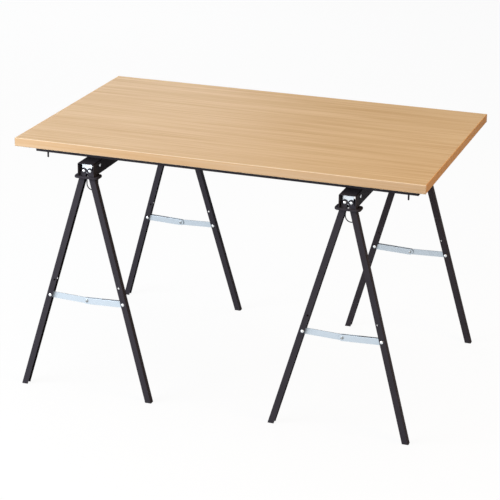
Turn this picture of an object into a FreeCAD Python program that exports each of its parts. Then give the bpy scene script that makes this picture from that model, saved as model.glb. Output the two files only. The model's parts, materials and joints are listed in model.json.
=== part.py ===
"""Folding trestle table: a loose laminate top with two steel rails, on two trestles of folding legs.

The origin is on the floor under the middle of the top. +Z is up, +X runs along the table's length
and the front is towards -Y. The table stands open, as it is used.
"""
import FreeCAD
import Part
import Sketcher
import os
import re

from FreeCAD import Placement, Rotation, Vector

X_AXIS = Vector(1, 0, 0)
Y_AXIS = Vector(0, 1, 0)
Z_AXIS = Vector(0, 0, 1)

# Driving dimensions: name, value in millimetres or degrees, and what it measures.
SIZES = (
    ("top_length", 1200, "tabletop, left to right"),
    ("top_depth", 750, "tabletop, front to back"),
    ("top_thickness", 25, "tabletop board"),
    ("top_height", 750, "floor to the upper face"),
    ("band_thickness", 2, "edge band round the board"),
    ("band_rounding", 1.7, "rounded outer edges of the band"),
    ("rail_length", 1130, "steel rail under the board"),
    ("rail_setback", 65, "board's edge to the rail's outer wall"),
    ("rail_width", 30, "rail, outside of its two walls"),
    ("rail_drop", 29, "rail, from the board down"),
    ("rail_wall", 1.6, "sheet of the rail"),
    ("rail_lip", 15, "lip that is screwed to the board"),
    ("screw_shank", 4, "wood screw's diameter"),
    ("screw_bite", 15, "screw in the board"),
    ("screw_head", 8, "screw head's diameter"),
    ("screw_dome", 2.4, "screw head's height"),
    ("screw_inset", 45, "rail's end to the first screw"),
    ("pin_diameter", 5, "stop pin under the rail"),
    ("pin_drop", 19.5, "stop pin below the rail"),
    ("pin_inset", 30.5, "rail's end to the stop pin"),
    ("pin_head", 10, "stop pin's head inside the rail"),
    ("pin_dome", 3, "height of that head"),
    ("trestle_spacing", 768, "middle of one beam to the other"),
    ("beam_length", 740, "trestle's beam, front to back"),
    ("beam_width", 49, "beam, outside"),
    ("beam_height", 38.5, "beam, outside"),
    ("beam_wall", 2, "sheet of the beam"),
    ("beam_rounding", 1.6, "beam's upper bends"),
    ("pivot_drop", 25, "beam's upper face to the leg pivots"),
    ("leg_recess", 8.5, "beam's end to the legs' front"),
    ("leg_width", 18, "leg channel's flange"),
    ("leg_depth", 18.5, "leg channel's web"),
    ("leg_wall", 1.5, "sheet of the leg"),
    ("leg_gap", 0.5, "between the two legs when they are shut"),
    ("leg_splay", 15.6, "leg from upright, in the pair's plane"),
    ("pair_lean", 3, "pair's plane from upright, outwards"),
    ("slot_width", 8, "slots in the leg's web"),
    ("slot_drop", 103, "pivot to the middle of the long slot"),
    ("slot_length", 20, "long slot"),
    ("slot_pitch", 34, "long slot to short slot"),
    ("slot_short", 12, "short slot"),
    ("stay_drop", 398, "pivot to the stay's rivet, along the leg"),
    ("stay_inset", 2.5, "stay's rivet from the flange's middle, inwards"),
    ("stay_dip", 4.2, "stay's middle below its ends"),
    ("stay_height", 19, "channel link"),
    ("stay_width", 9, "channel link, outside of its cheeks"),
    ("stay_sheet", 1.2, "sheet of the channel link"),
    ("stay_notch", 46, "open end of the channel link's web"),
    ("flat_height", 18, "flat link"),
    ("flat_thickness", 2.5, "flat link"),
    ("spare_rise", 50, "spare hole above the stay's rivet"),
    ("spare_hole", 6, "spare hole in the legs' flanges"),
    ("rivet_shank", 6, "rivets' diameter"),
    ("rivet_head", 9.4, "rivet heads' diameter"),
    ("rivet_dome", 2.2, "rivet heads' height"),
    ("bracket_sheet", 2.3, "pivot bracket"),
    ("roof_gap", 2, "bracket's roof below the beam's top"),
    ("bracket_fall", 7, "bracket's tongue and tabs below the pivots"),
    ("tongue_gap", 2, "bracket's tongue from the legs' webs"),
    ("bracket_tab", 28, "side tabs, front to back"),
    ("tab_rivet_back", 16, "tab's front to its rivet"),
    ("tab_rivet_rise", 13, "tab's rivet above the pivots"),
    ("collar_width", 74, "collar plate under the beam's end"),
    ("collar_depth", 42, "collar plate, front to back"),
    ("collar_sheet", 6.5, "collar plate"),
    ("collar_proud", 3, "collar past the beam's end"),
    ("collar_rounding", 12, "collar's corners"),
    ("bail_wire", 3, "wire loop's diameter"),
    ("bail_length", 67, "wire loop's hook to its lowest point"),
    ("bail_back", 19, "tab's front to the loop's hook"),
    ("bail_bend", 3, "loop's bend at its hooks"),
    ("running_fit", 0.06, "gap round a turning rivet or hook"),
    ("seat_fit", 0.02, "gap round a fixed rivet or screw"),
    ("side_fit", 0.2, "gap beside a turning piece"),
    ("window_fit", 0.8, "gap between the legs and the collar"),
)
SCREWS_PER_LIP = 5
# A drill's length to the width of the piece that it goes through.
OVERRUN = 1.2
# Slack, in millimetres, when an edge is told by its place.
SLACK = 1e-6

# Lengths that follow from the driving dimensions.
BEAM_TOP = "(top_height - top_thickness - rail_drop)"
BEAM_BOTTOM = f"({BEAM_TOP} - beam_height)"
BEAM_INSIDE = "(beam_width / 2 - beam_wall)"
PIVOT_HEIGHT = f"({BEAM_TOP} - pivot_drop)"
PIVOT_HALF = "((leg_width + leg_gap) / 2)"
PAIR_REACH = "(beam_length / 2 - leg_recess - leg_depth / 2)"
LEG_REACH = f"({PIVOT_HEIGHT} / (cos(leg_splay) * cos(pair_lean)) + leg_width)"
STAY_HALF = f"({PIVOT_HALF} + stay_drop * sin(leg_splay) - stay_inset * cos(leg_splay))"
STAY_LEVEL = "(stay_drop * cos(leg_splay) + stay_inset * sin(leg_splay))"
LINK_LENGTH = f"sqrt({STAY_HALF} * {STAY_HALF} + stay_dip * stay_dip)"
TAB_FACE = "(leg_depth / 2 + side_fit)"
TONGUE_FACE = "(leg_wall + side_fit - leg_depth / 2)"
TONGUE_HALF = f"({PIVOT_HALF} + leg_width / 2 - leg_wall - tongue_gap)"
ROOF_TOP = "(pivot_drop - beam_wall - roof_gap)"
RAIL_MIDDLE = "(top_depth / 2 - rail_setback - rail_width / 2)"

doc = FreeCAD.newDocument("FoldingTrestleTable")
sheet = doc.addObject("Spreadsheet::Sheet", "Sizes")
for row, (alias, value, note) in enumerate(SIZES, start=1):
    sheet.set(f"A{row}", note)
    sheet.set(f"B{row}", str(value))
    sheet.setAlias(f"B{row}", alias)
doc.recompute()
nodes = {}


def bound(text):
    """Write an expression's size names as references to the sheet."""
    return re.sub(r"\b[a-z]+_[a-z]+\w*\b", lambda found: "Sizes." + found.group(), str(text))


def number(text):
    """Work out an expression of the sheet's sizes."""
    return float(sheet.evalExpression(bound(text)))


def at(x, y, z, turn=None):
    """A placement at a point given by expressions."""
    return Placement(Vector(number(x), number(y), number(z)), turn or Rotation())


def keep(label, thing):
    """Name a finished sub-part."""
    thing.Label = label
    nodes[label] = thing


# Solids from primitives


def block(size, corner, frame):
    """A box of the given size expressions, with its lowest corner in the frame."""
    box = doc.addObject("Part::Box", "Block")
    for side, text in zip(("Length", "Width", "Height"), size):
        box.setExpression(side, bound(text))
    box.Placement = frame * at(*corner)
    return box


def rod(radius, length, start, along, frame):
    """A cylinder from a start point along a direction of the frame."""
    cylinder = doc.addObject("Part::Cylinder", "Rod")
    cylinder.setExpression("Radius", bound(radius))
    cylinder.setExpression("Height", bound(length))
    cylinder.Placement = frame * at(*start, Rotation(Z_AXIS, along))
    return cylinder


def drill_x(radius, width, y, z, frame):
    """A rod along X, right through a piece of the given width."""
    return rod(radius, f"{OVERRUN} * {width}", (f"-{OVERRUN} * {width} / 2", y, z), X_AXIS, frame)


def drill_y(radius, width, x, z, frame):
    """A rod along Y, right through a piece of the given width."""
    return rod(radius, f"{OVERRUN} * {width}", (x, f"-{OVERRUN} * {width} / 2", z), Y_AXIS, frame)


def dome(radius, rise, start, along, frame):
    """A domed head that stands on a start point along a direction of the frame."""
    head = doc.addObject("Part::Ellipsoid", "Dome")
    head.setExpression("Radius1", bound(rise))
    head.setExpression("Radius2", bound(radius))
    head.setExpression("Radius3", bound(radius))
    head.Angle1 = 0
    head.Placement = frame * at(*start, Rotation(Z_AXIS, along))
    return head


def ring(radius, wire, sweep, frame):
    """A part of a ring in the frame's XY plane, from its X axis round by the sweep angle."""
    torus = doc.addObject("Part::Torus", "Ring")
    torus.setExpression("Radius1", bound(radius))
    torus.setExpression("Radius2", bound(wire))
    torus.Angle3 = sweep
    torus.Placement = frame
    return torus


def joined(pieces):
    """One solid from several that meet."""
    fuse = doc.addObject("Part::MultiFuse", "Joined")
    fuse.Shapes = pieces
    fuse.Refine = True
    return fuse


def carved(base, tools):
    """A solid with others taken out of it."""
    cut = doc.addObject("Part::Cut", "Carved")
    cut.Base = base
    cut.Tool = tools[0] if len(tools) == 1 else joined(tools)
    return cut


def grouped(pieces):
    """Separate solids that share a sub-part."""
    group = doc.addObject("Part::Compound", "Group")
    group.Links = pieces
    return group


def rivet(length, start, along, frame):
    """A rivet whose shank starts under one head and ends under the other."""
    back = Vector(along) * -1
    far = frame * at(*start) * Placement(Vector(along) * number(length), Rotation())
    return joined([
        rod("rivet_shank / 2", length, start, along, frame),
        dome("rivet_head / 2", "rivet_dome", start, back, frame),
        dome("rivet_head / 2", "rivet_dome", (0, 0, 0), along, far),
    ])


def slot(drop, length, frame):
    """A round-ended slot through a leg's web."""
    straight = f"({length} - slot_width)"
    inside = "leg_width / 2 - 2 * leg_wall"
    heights = [f"-({drop}) + {side} * {straight} / 2" for side in (-1, 1)]
    ends = [rod("slot_width / 2", "3 * leg_wall", (inside, 0, height), X_AXIS, frame) for height in heights]
    middle = block(
        ("3 * leg_wall", "slot_width", straight),
        (inside, "-slot_width / 2", f"-({drop}) - {straight} / 2"),
        frame,
    )
    return joined([middle, *ends])


# Solids from sketches


def new_body(name):
    """An empty body."""
    return doc.addObject("PartDesign::Body", name)


def new_sketch(body, role):
    """A sketch on one of the body's own planes."""
    sketch = body.newObject("Sketcher::SketchObject", "Sketch")
    plane = next(one for one in body.Origin.OriginFeatures if one.Role == role)
    sketch.AttachmentSupport = [(plane, "")]
    sketch.MapMode = "FlatFace"
    return sketch


def hold(sketch, kind, geometry, point, text):
    """Tie one coordinate of a sketch point to the sheet."""
    index = sketch.addConstraint(Sketcher.Constraint(kind, -1, 1, geometry, point, number(text)))
    sketch.setExpression(f"Constraints[{index}]", bound(text))


def outline(sketch, corners):
    """Draw a closed outline through corners given by expressions."""
    first = sketch.GeometryCount
    points = [Vector(number(x), number(y), 0) for x, y in corners]
    for start, end in zip(points, points[1:] + points[:1]):
        sketch.addGeometry(Part.LineSegment(start, end), False)
    for index, (x, y) in enumerate(corners):
        following = (index + 1) % len(corners)
        sketch.addConstraint(Sketcher.Constraint("Coincident", first + index, 2, first + following, 1))
        hold(sketch, "DistanceX", first + index, 1, x)
        hold(sketch, "DistanceY", first + index, 1, y)


def rectangle(sketch, x_low, x_high, y_low, y_high):
    """Draw a rectangle between expressions."""
    outline(sketch, ((x_low, y_low), (x_high, y_low), (x_high, y_high), (x_low, y_high)))


def circle(sketch, x, y, diameter):
    """Draw a circle placed and sized by expressions."""
    drawn = Part.Circle(Vector(number(x), number(y), 0), Z_AXIS, number(diameter) / 2)
    geometry = sketch.addGeometry(drawn, False)
    hold(sketch, "DistanceX", geometry, 3, x)
    hold(sketch, "DistanceY", geometry, 3, y)
    index = sketch.addConstraint(Sketcher.Constraint("Diameter", geometry, number(diameter)))
    sketch.setExpression(f"Constraints[{index}]", bound(diameter))


def pad(body, sketch, length, symmetric=False):
    """Raise a sketch to a length, on both sides of its plane if symmetric."""
    feature = body.newObject("PartDesign::Pad", "Pad")
    feature.Profile = sketch
    feature.setExpression("Length", bound(length))
    feature.SideType = "Symmetric" if symmetric else "One side"
    doc.recompute()


def pocket(body, sketch, length):
    """Cut a sketch upwards into the body, and make sure that it takes something away."""
    before = body.Shape.Volume
    feature = body.newObject("PartDesign::Pocket", "Pocket")
    feature.Profile = sketch
    feature.setExpression("Length", bound(length))
    feature.Reversed = True
    doc.recompute()
    if body.Shape.Volume >= before:
        raise RuntimeError(f"A pocket in {body.Name} cuts nothing")


def rounded(body, radius, wanted):
    """Round the edges of the body that a test picks."""
    base = body.Tip
    edges = [f"Edge{index}" for index, edge in enumerate(base.Shape.Edges, start=1) if wanted(edge)]
    feature = body.newObject("PartDesign::Fillet", "Fillet")
    feature.Base = (base, edges)
    feature.setExpression("Radius", bound(radius))
    doc.recompute()


def runs_along(edge, axis):
    """Whether a straight edge runs along an axis."""
    run = edge.Vertexes[-1].Point - edge.Vertexes[0].Point
    return run.cross(axis).Length < SLACK < run.Length


# Tabletop: board, edge bands, rails, screws and stop pins


def screw_places():
    """Where the screws go in from below: expressions of X and Y for both rails."""
    span = "(rail_length - 2 * screw_inset)"
    offset = "((rail_width + rail_lip) / 2)"
    for rail in (-1, 1):
        for lip in (-1, 1):
            for step in range(SCREWS_PER_LIP):
                share = step / (SCREWS_PER_LIP - 1)
                yield f"{span} * {share} - {span} / 2", f"{rail} * {RAIL_MIDDLE} + {lip} * {offset}"


def build_board():
    """The core board, with pilot holes for the rails' screws."""
    body = new_body("Board")
    half_length = "(top_length / 2 - band_thickness)"
    half_depth = "(top_depth / 2 - band_thickness)"
    section = new_sketch(body, "XY_Plane")
    rectangle(section, f"-{half_length}", half_length, f"-{half_depth}", half_depth)
    pad(body, section, "top_thickness")
    pilots = new_sketch(body, "XY_Plane")
    for x, y in screw_places():
        circle(pilots, x, y, "screw_shank + 2 * seat_fit")
    pocket(body, pilots, "screw_bite + seat_fit")
    body.Placement = at(0, 0, "top_height - top_thickness")
    keep("tabletop_board", body)


def build_band(label, length, offset, turn):
    """An edge band with rounded outer edges; its outer face points to -Y before it is turned."""
    body = new_body("Band")
    half = f"({length}) / 2"
    outer = f"-({offset})"
    section = new_sketch(body, "XY_Plane")
    rectangle(section, f"-{half}", half, outer, f"{outer} + band_thickness")
    pad(body, section, "top_thickness")
    limit = number(outer) + SLACK
    rounded(body, "band_rounding", lambda edge: runs_along(edge, X_AXIS) and edge.CenterOfMass.y < limit)
    body.Placement = at(0, 0, "top_height - top_thickness", Rotation(Z_AXIS, turn))
    keep(label, body)


def build_bands():
    """The four edge bands: long ones from end to end, short ones between them."""
    between = "top_depth - 2 * band_thickness"
    build_band("front_edge_band", "top_length", "top_depth / 2", 0)
    build_band("right_edge_band", between, "top_length / 2", 90)
    build_band("back_edge_band", "top_length", "top_depth / 2", 180)
    build_band("left_edge_band", between, "top_length / 2", 270)


def build_rail(label, turn):
    """A hat-shaped steel rail, flat side down, with holes for its screws and stop pins."""
    body = new_body("Rail")
    inner = "(rail_width / 2 - rail_wall)"
    outer = "(rail_width / 2)"
    edge = "(rail_width / 2 + rail_lip)"
    half = (
        (outer, "0"),
        (outer, "rail_drop - rail_wall"),
        (edge, "rail_drop - rail_wall"),
        (edge, "rail_drop"),
        (inner, "rail_drop"),
        (inner, "rail_wall"),
    )
    mirrored = tuple((f"-{y}", z) for y, z in reversed(half))
    section = new_sketch(body, "YZ_Plane")
    outline(section, half + mirrored)
    pad(body, section, "rail_length", symmetric=True)
    holes = new_sketch(body, "XY_Plane")
    for x, y in screw_places():
        if number(y) < 0:
            circle(holes, x, f"{y} + {RAIL_MIDDLE}", "screw_shank + 2 * seat_fit")
    for side in (-1, 1):
        circle(holes, f"{side} * (rail_length / 2 - pin_inset)", "0", "pin_diameter + 2 * seat_fit")
    pocket(body, holes, "rail_drop")
    facing = Rotation(Z_AXIS, turn)
    middle = facing.multVec(Vector(0, -number(RAIL_MIDDLE), number(BEAM_TOP)))
    body.Placement = Placement(middle, facing)
    keep(label, body)


def build_rail_fasteners():
    """The screws that hold the rails, and the stop pins that hang from them."""
    down = Z_AXIS * -1
    lip_under = "top_height - top_thickness - rail_wall"
    screws = []
    for x, y in screw_places():
        shank = rod("screw_shank / 2", "screw_bite + rail_wall", (x, y, lip_under), Z_AXIS, Placement())
        head = dome("screw_head / 2", "screw_dome", (x, y, lip_under), down, Placement())
        screws.append(joined([shank, head]))
    keep("rail_screws", grouped(screws))
    radius = "pin_diameter / 2"
    top = (0, 0, "rail_wall")
    tip = (0, 0, f"{radius} - pin_drop")
    pins = []
    for x_side in (-1, 1):
        for y_side in (-1, 1):
            x = f"{x_side} * (rail_length / 2 - pin_inset)"
            frame = at(x, f"{y_side} * {RAIL_MIDDLE}", BEAM_TOP)
            pins.append(joined([
                rod(radius, f"rail_wall + pin_drop - {radius}", top, down, frame),
                dome(radius, radius, tip, down, frame),
                dome("pin_head / 2", "pin_dome", top, Z_AXIS, frame),
            ]))
    keep("stop_pins", grouped(pins))


# Trestle heads: beam, pivot brackets, collars, rivets and wire loops


def pair_frame(x_side, back):
    """The frame of a pair of legs: at its pivots, leaning outwards, with +Y towards the middle."""
    turn = Rotation(Z_AXIS, 180 if back else 0)
    middle = at(f"{x_side} * trestle_spacing / 2", 0, PIVOT_HEIGHT)
    outwards = at(0, f"-{PAIR_REACH}", 0, Rotation(X_AXIS, -number("pair_lean")))
    return middle * Placement(Vector(), turn) * outwards


def level_frame(x_side, back):
    """The same place as the pair's frame, but level with the beam's underside."""
    turn = Rotation(Z_AXIS, 180 if back else 0)
    middle = at(f"{x_side} * trestle_spacing / 2", 0, BEAM_BOTTOM)
    return middle * Placement(Vector(), turn)


def hook_frame(frame):
    """The axis of a pair's wire loop, upright like the loop that hangs from it."""
    hook = frame.multVec(Vector(0, number(f"{TAB_FACE} + bail_back"), 0))
    back = frame.Rotation.multVec(Y_AXIS).y < 0
    return Placement(hook, Rotation(Z_AXIS, 180 if back else 0))


def build_beam(label, x_side, frames):
    """The beam: a channel with its open side down, drilled for the brackets' rivets."""
    body = new_body("Beam")
    half = "(beam_width / 2)"
    section = new_sketch(body, "XZ_Plane")
    outline(section, (
        (f"-{half}", "0"),
        (f"-{half}", "beam_height"),
        (half, "beam_height"),
        (half, "0"),
        (BEAM_INSIDE, "0"),
        (BEAM_INSIDE, "beam_height - beam_wall"),
        (f"-{BEAM_INSIDE}", "beam_height - beam_wall"),
        (f"-{BEAM_INSIDE}", "0"),
    ))
    pad(body, section, "beam_length", symmetric=True)
    top = number("beam_height") - SLACK
    rounded(body, "beam_rounding", lambda edge: runs_along(edge, Y_AXIS) and edge.CenterOfMass.z > top)
    body.Placement = at(f"{x_side} * trestle_spacing / 2", 0, BEAM_BOTTOM)
    holes = [drill_x("rivet_shank / 2 + seat_fit", "beam_width", *tab_rivet(), frame) for frame in frames]
    keep(label, carved(body, holes))


def tab_rivet():
    """Where a bracket's side rivets cross the pair's frame: expressions of Y and Z."""
    return f"{TAB_FACE} + tab_rivet_back", "tab_rivet_rise"


def build_bracket(label, frame):
    """The plated bracket: a tongue inside the legs' tops, a roof, and a tab along each wall of the beam."""
    tall = f"{ROOF_TOP} + bracket_fall"
    under = f"{ROOF_TOP} - bracket_sheet"
    tongue = block(
        (f"2 * {TONGUE_HALF}", "bracket_sheet", tall),
        (f"-{TONGUE_HALF}", TONGUE_FACE, "-bracket_fall"),
        frame,
    )
    bridge = block(
        (f"2 * {TONGUE_HALF}", f"{TAB_FACE} - {TONGUE_FACE}", "bracket_sheet"),
        (f"-{TONGUE_HALF}", TONGUE_FACE, under),
        frame,
    )
    roof = block(
        (f"2 * {BEAM_INSIDE}", "bracket_tab", "bracket_sheet"), (f"-{BEAM_INSIDE}", TAB_FACE, under), frame
    )
    tabs = [
        block(("bracket_sheet", "bracket_tab", tall), (corner, TAB_FACE, "-bracket_fall"), frame)
        for corner in (f"-{BEAM_INSIDE}", f"{BEAM_INSIDE} - bracket_sheet")
    ]
    pivots = [
        drill_y("rivet_shank / 2 + seat_fit", "leg_depth", f"{side} * {PIVOT_HALF}", 0, frame)
        for side in (-1, 1)
    ]
    rivets = drill_x("rivet_shank / 2 + seat_fit", "beam_width", *tab_rivet(), frame)
    hooks = drill_x("bail_wire / 2 + running_fit", "beam_width", 0, 0, hook_frame(frame))
    keep(label, carved(joined([tongue, bridge, roof, *tabs]), [*pivots, rivets, hooks]))


def build_head_rivets(name, frames):
    """The rivets that the legs turn on, and those that hold the brackets in the beam."""
    pivots = []
    fixings = []
    front = "leg_depth / 2 + side_fit / 2"
    for frame in frames:
        for side in (-1, 1):
            start = (f"{side} * {PIVOT_HALF}", f"-({front})", 0)
            pivots.append(rivet(f"2 * ({front})", start, Y_AXIS, frame))
            inside = (f"{side} * ({BEAM_INSIDE} - bracket_sheet)", *tab_rivet())
            fixings.append(rivet("bracket_sheet + beam_wall", inside, X_AXIS * side, frame))
    keep(f"{name}_pivot_rivets", grouped(pivots))
    keep(f"{name}_bracket_rivets", grouped(fixings))


def build_collar(label, frame):
    """The plate under the beam's end, with a window that the legs pass through."""
    body = new_body("Collar")
    front = "(beam_length / 2 + collar_proud)"
    below = "(beam_height - pivot_drop + collar_sheet / 2)"
    middle = f"({PAIR_REACH} + {below} * tan(pair_lean))"
    depth = "(leg_depth / cos(pair_lean) / 2 + collar_sheet * tan(pair_lean) / 2 + window_fit)"
    lowest = f"({below} + collar_sheet / 2)"
    width = f"({PIVOT_HALF} + {lowest} * tan(leg_splay) + leg_width / cos(leg_splay) / 2 + window_fit)"
    section = new_sketch(body, "XY_Plane")
    rectangle(section, "-collar_width / 2", "collar_width / 2", f"-{front}", f"-{front} + collar_depth")
    rectangle(section, f"-{width}", width, f"-{middle} - {depth}", f"-{middle} + {depth}")
    pad(body, section, "collar_sheet")
    side = number("collar_width") / 2 - SLACK
    rounded(
        body,
        "collar_rounding",
        lambda edge: runs_along(edge, Z_AXIS) and abs(edge.CenterOfMass.x) > side,
    )
    body.Placement = frame * at(0, 0, "-collar_sheet")
    keep(label, body)


def build_bail(label, frame):
    """The wire loop that hangs behind the legs, hooked in the bracket's tabs."""
    wire = "bail_wire / 2"
    hook = f"({BEAM_INSIDE} - bracket_sheet - side_fit)"
    half = f"({hook} - bail_bend)"
    bottom = f"-(bail_length - {wire} - {half})"
    pieces = [ring(half, wire, 180, frame * at(0, 0, bottom, Rotation(X_AXIS, -90)))]
    for side, bend_turn in ((-1, 0), (1, 90)):
        pieces.append(rod(wire, f"-bail_bend - {bottom}", (f"{side} * {half}", 0, bottom), Z_AXIS, frame))
        bend = Rotation(X_AXIS, 90) * Rotation(Z_AXIS, bend_turn)
        pieces.append(ring("bail_bend", wire, 90, frame * at(f"{side} * {hook}", 0, "-bail_bend", bend)))
        pieces.append(rod(wire, "bracket_sheet", (f"{side} * {hook}", 0, 0), X_AXIS * side, frame))
    keep(label, joined(pieces))


# Legs and stays


def leg_frame(frame, side):
    """A leg's own frame: at its pivot, -Z down the leg and +X to its outer side."""
    facing = Rotation(Z_AXIS, 180 if side < 0 else 0)
    lean = Rotation(Y_AXIS, -number("leg_splay"))
    return frame * at(f"{side} * {PIVOT_HALF}", 0, 0, facing * lean)


def link_frame(frame, side):
    """A link's own frame: at its leg's rivet, with +X towards the stay's middle."""
    facing = Rotation(Z_AXIS, 180 if side > 0 else 0)
    dip = Rotation(Y_AXIS, number(f"atan(stay_dip / {STAY_HALF})"))
    return frame * at(f"{side} * {STAY_HALF}", 0, f"-{STAY_LEVEL}", facing * dip)


def build_leg(label, frame, floor):
    """A steel channel with a round top, its open side to the other leg and its foot cut level."""
    bar = block(
        ("leg_width", "leg_depth", LEG_REACH),
        ("-leg_width / 2", "-leg_depth / 2", f"-{LEG_REACH}"),
        frame,
    )
    top = rod("leg_width / 2", "leg_depth", (0, "-leg_depth / 2", 0), Y_AXIS, frame)
    hollow = block(
        ("leg_width", "leg_depth - 2 * leg_wall", f"{LEG_REACH} + leg_width"),
        ("-leg_width / 2 - leg_wall", "leg_wall - leg_depth / 2", f"-{LEG_REACH}"),
        frame,
    )
    holes = [
        drill_y("rivet_shank / 2 + running_fit", "leg_depth", 0, 0, frame),
        drill_y("rivet_shank / 2 + seat_fit", "leg_depth", "-stay_inset", "-stay_drop", frame),
        drill_y("spare_hole / 2", "leg_depth", "-stay_inset", "spare_rise - stay_drop", frame),
        slot("slot_drop", "slot_length", frame),
        slot("slot_drop + slot_pitch", "slot_short", frame),
    ]
    keep(label, carved(joined([bar, top]), [hollow, floor, *holes]))


def build_link_bar(width, height, frame):
    """A bar with round ends between a link's two rivets."""
    half = f"({height}) / 2"
    bar = block((LINK_LENGTH, width, height), (0, f"-({width}) / 2", f"-{half}"), frame)
    ends = [rod(half, width, (x, f"-({width}) / 2", 0), Y_AXIS, frame) for x in (0, LINK_LENGTH)]
    return joined([bar, *ends])


def link_holes(frame):
    """The holes for a link's rivets: a running one in the leg and a fixed one in the stay's middle."""
    ends = ((0, "running_fit"), (LINK_LENGTH, "seat_fit"))
    return [drill_y(f"rivet_shank / 2 + {gap}", "stay_width", x, 0, frame) for x, gap in ends]


def build_channel_link(label, frame):
    """The stay's channel half: web on top, open below, its web cut back where the flat half folds."""
    inside = "(stay_width - 2 * stay_sheet)"
    hollow = block(
        (f"{LINK_LENGTH} + 2 * stay_height", inside, "stay_height"),
        ("-stay_height", f"-{inside} / 2", "-stay_height / 2 - stay_sheet"),
        frame,
    )
    notch = block(
        ("stay_notch + stay_height", inside, "stay_height"),
        (f"{LINK_LENGTH} - stay_notch", f"-{inside} / 2", "0"),
        frame,
    )
    bar = build_link_bar("stay_width", "stay_height", frame)
    keep(label, carved(bar, [hollow, notch, *link_holes(frame)]))


def build_flat_link(label, frame):
    """The stay's flat half, which runs between the channel's cheeks."""
    bar = build_link_bar("flat_thickness", "flat_height", frame)
    keep(label, carved(bar, link_holes(frame)))


def build_centre_rivet(name, channel, flat):
    """The stay's middle rivet: its ends stay in the channel's cheeks and its core in the flat link."""
    inner = "(flat_thickness / 2 + side_fit)"
    outer = "(stay_width / 2)"
    radius = "rivet_shank / 2"
    ends = []
    for side in (-1, 1):
        along = Y_AXIS * side
        ends.append(joined([
            rod(radius, f"{outer} - {inner}", (LINK_LENGTH, f"{side} * {inner}", 0), along, channel),
            dome("rivet_head / 2", "rivet_dome", (LINK_LENGTH, f"{side} * {outer}", 0), along, channel),
        ]))
    keep(f"{name}_centre_rivet", grouped(ends))
    core = rod(radius, "flat_thickness", (LINK_LENGTH, "-flat_thickness / 2", 0), Y_AXIS, flat)
    keep(f"{name}_centre_rivet_core", core)


def build_pair(name, frame, back, floor):
    """Two legs and the stay between them, with the rivets that ride on the legs."""
    for side in (-1, 1):
        leg = leg_frame(frame, side)
        side_name = "left" if (side < 0) != back else "right"
        build_leg(f"{name}_{side_name}_leg", leg, floor)
        start = ("-stay_inset", "-leg_depth / 2", "-stay_drop")
        keep(f"{name}_{side_name}_stay_rivet", rivet("leg_depth", start, Y_AXIS, leg))
    channel = link_frame(frame, 1)
    flat = link_frame(frame, -1)
    build_channel_link(f"{name}_channel_link", channel)
    build_flat_link(f"{name}_flat_link", flat)
    build_centre_rivet(name, channel, flat)


def build_floor():
    """A slab under the floor line, which the feet are cut with."""
    size = ("2 * top_length", "2 * top_length", "top_height")
    return block(size, ("-top_length", "-top_length", "-top_height"), Placement())


def build_trestle(name, x_side, floor):
    """A beam with a folding pair of legs at each end."""
    frames = []
    for end, back in (("front", False), ("back", True)):
        frame = pair_frame(x_side, back)
        frames.append(frame)
        pair = f"{name}_{end}"
        build_pair(pair, frame, back, floor)
        build_bracket(f"{pair}_pivot_bracket", frame)
        build_collar(f"{pair}_collar", level_frame(x_side, back))
        build_bail(f"{pair}_wire_loop", hook_frame(frame))
    build_beam(f"{name}_beam", x_side, frames)
    build_head_rivets(name, frames)


def write_parts():
    """Check every object and sub-part, then write one file for each sub-part."""
    doc.recompute()
    for thing in doc.Objects:
        if {"Invalid", "Error"} & set(thing.State):
            raise RuntimeError(f"{thing.Name} failed: {thing.State}")
    os.makedirs("parts", exist_ok=True)
    for label, thing in nodes.items():
        if thing.Shape.isNull() or not thing.Shape.isValid() or not thing.Shape.Solids:
            raise RuntimeError(f"{label} has no valid solid")
        thing.Shape.exportStep(f"parts/{label}.step")
    print(f"{len(nodes)} sub-parts written")


build_board()
build_bands()
build_rail("front_rail", 0)
build_rail("back_rail", 180)
build_rail_fasteners()
floor_slab = build_floor()
build_trestle("left", -1, floor_slab)
build_trestle("right", 1, floor_slab)
write_parts()
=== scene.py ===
"""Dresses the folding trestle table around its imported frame.

A loose wood-grain top with two black steel rails lies on two trestles. Each trestle is a channel beam with
a pair of splayed channel legs at each end, which shut like scissors and lock with a zinc-plated stay. Sizes
are in metres, and places come from the frame's nodes and joints.
"""

import json
import logging
import math
from contextlib import contextmanager
from dataclasses import dataclass
from enum import Enum
from typing import Any, Callable, Iterable, Iterator

import bmesh
import bpy
from mathutils import Matrix, Vector


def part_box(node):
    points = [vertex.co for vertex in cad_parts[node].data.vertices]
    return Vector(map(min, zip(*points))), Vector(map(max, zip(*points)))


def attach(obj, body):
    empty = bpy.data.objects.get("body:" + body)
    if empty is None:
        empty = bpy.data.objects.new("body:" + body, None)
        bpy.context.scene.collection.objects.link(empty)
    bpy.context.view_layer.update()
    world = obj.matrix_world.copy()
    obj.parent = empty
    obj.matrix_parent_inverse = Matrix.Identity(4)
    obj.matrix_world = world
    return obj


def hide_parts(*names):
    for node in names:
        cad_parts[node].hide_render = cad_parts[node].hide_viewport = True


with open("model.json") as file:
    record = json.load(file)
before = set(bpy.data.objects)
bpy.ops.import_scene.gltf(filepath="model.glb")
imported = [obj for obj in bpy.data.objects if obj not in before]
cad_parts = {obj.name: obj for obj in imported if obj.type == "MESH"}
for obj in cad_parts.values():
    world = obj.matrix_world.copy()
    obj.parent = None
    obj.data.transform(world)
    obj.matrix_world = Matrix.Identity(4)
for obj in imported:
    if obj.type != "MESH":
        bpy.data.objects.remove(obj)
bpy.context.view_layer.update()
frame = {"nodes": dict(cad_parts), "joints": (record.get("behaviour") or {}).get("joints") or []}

log = logging.getLogger("trestle_table")

Piece = bpy.types.Object
Edge = bmesh.types.BMEdge
Face = bmesh.types.BMFace
Tree = bpy.types.NodeTree
Socket = bpy.types.NodeSocket

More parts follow.
